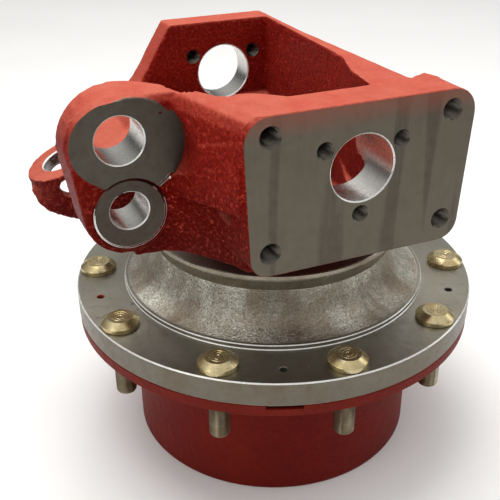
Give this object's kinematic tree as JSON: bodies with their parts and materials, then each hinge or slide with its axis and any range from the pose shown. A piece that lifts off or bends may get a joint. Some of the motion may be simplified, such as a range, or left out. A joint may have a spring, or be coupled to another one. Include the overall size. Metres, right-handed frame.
{
  "type": "planetary gearbox",
  "caption": "Steered planetary wheel-end gearbox: a forked cast knuckle with kingpin bores and a steering arm carries a flanged hub with wheel studs and a round gear cover.",
  "frame": {"origin": "on the hub's axis of rotation, in the plane of the gear cover's flat outer end, which the gearbox stands on", "axes": "+Z along the hub axis from the gear cover to the open top of the knuckle; -Y towards the front kingpin plate with the large tapped face, and the steering arm reaches out towards -X"},
  "size_m": [0.3914, 0.372, 0.3685],
  "materials": {
    "knuckle_paint": "red oxide primer over sand-cast iron, machined faces bare",
    "cover_paint": "red oxide primer over turned cast iron",
    "hub_iron": "turned flange and as-cast dish, oiled",
    "ring_steel": "turned",
    "stud_zinc": "yellow passivated zinc plate",
    "screw_steel": "plain",
    "bearing_steel": "ground",
    "roller_steel": "ground rollers in a pressed cage",
    "gear_steel": "hardened and oiled",
    "bronze": "turned bronze",
    "seal_rubber": "matt"
  },
  "bodies": {
    "knuckle": {"steering_knuckle": "knuckle_paint", "seal_retainer_ring": "ring_steel", "inner_bearing_cone": "bearing_steel", "outer_bearing_cone": "bearing_steel", "ring_gear": "gear_steel", "ring_gear_carrier": "gear_steel", "ring_gear_snap_ring": "screw_steel", "nut_lock_washer": "screw_steel", "spindle_nut": "screw_steel", "shaft_bush": "bronze", "shaft_seal": "seal_rubber"},
    "hub": {"wheel_hub": "hub_iron", "planet_carrier_cover": "cover_paint", "wheel_stud_01": "stud_zinc", "wheel_stud_02": "stud_zinc", "wheel_stud_03": "stud_zinc", "wheel_stud_04": "stud_zinc", "wheel_stud_05": "stud_zinc", "wheel_stud_06": "stud_zinc", "wheel_stud_07": "stud_zinc", "wheel_stud_08": "stud_zinc", "wheel_stud_09": "stud_zinc", "wheel_stud_10": "stud_zinc", "cover_screw_1": "screw_steel", "cover_screw_2": "screw_steel", "cover_screw_3": "screw_steel", "cover_screw_4": "screw_steel", "cover_screw_5": "screw_steel", "inner_bearing_cup": "bearing_steel", "outer_bearing_cup": "bearing_steel", "hub_seal": "seal_rubber", "planet_pin_1": "gear_steel", "planet_pin_2": "gear_steel", "planet_pin_3": "gear_steel", "planet_thrust_washer_1": "bronze", "planet_thrust_washer_2": "bronze", "planet_thrust_washer_3": "bronze", "planet_retaining_ring_1": "screw_steel", "planet_retaining_ring_2": "screw_steel", "planet_retaining_ring_3": "screw_steel", "sun_thrust_pad": "bronze", "cover_o_ring": "seal_rubber", "drain_plug": "screw_steel", "filler_plug": "screw_steel"},
    "sun": {"sun_gear_shaft": "gear_steel"},
    "planet_1": {"planet_gear_1": "gear_steel", "planet_bush_1": "bronze"},
    "planet_2": {"planet_gear_2": "gear_steel", "planet_bush_2": "bronze"},
    "planet_3": {"planet_gear_3": "gear_steel", "planet_bush_3": "bronze"},
    "inner_cage": {"inner_bearing_rollers": "roller_steel"},
    "outer_cage": {"outer_bearing_rollers": "roller_steel"}
  },
  "joints": [
    {"name": "hub_spin", "type": "hinge", "parent": "knuckle", "child": "hub", "pos_m": [0, 0, 0], "axis": [0, 0, 1], "continuous": true},
    {"name": "sun_spin", "type": "hinge", "parent": "knuckle", "child": "sun", "pos_m": [0, 0, 0.06], "axis": [0, 0, 1], "continuous": true},
    {"name": "planet_1_spin", "type": "hinge", "parent": "hub", "child": "planet_1", "pos_m": [0, 0.0585, 0.06], "axis": [0, 0, 1], "continuous": true},
    {"name": "planet_2_spin", "type": "hinge", "parent": "hub", "child": "planet_2", "pos_m": [-0.05066, -0.02925, 0.06], "axis": [0, 0, 1], "continuous": true},
    {"name": "planet_3_spin", "type": "hinge", "parent": "hub", "child": "planet_3", "pos_m": [0.05066, -0.02925, 0.06], "axis": [0, 0, 1], "continuous": true},
    {"name": "inner_cage_spin", "type": "hinge", "parent": "knuckle", "child": "inner_cage", "pos_m": [0, 0, 0.15], "axis": [0, 0, 1], "continuous": true},
    {"name": "outer_cage_spin", "type": "hinge", "parent": "knuckle", "child": "outer_cage", "pos_m": [0, 0, 0.1], "axis": [0, 0, 1], "continuous": true}
  ],
  "couplings": [
    {"joint": "sun_spin", "follows": "hub_spin", "ratio": 5.2},
    {"joint": "planet_1_spin", "follows": "hub_spin", "ratio": -2.625},
    {"joint": "planet_2_spin", "follows": "hub_spin", "ratio": -2.625},
    {"joint": "planet_3_spin", "follows": "hub_spin", "ratio": -2.625},
    {"joint": "inner_cage_spin", "follows": "hub_spin", "ratio": 0.548},
    {"joint": "outer_cage_spin", "follows": "hub_spin", "ratio": 0.546}
  ]
}
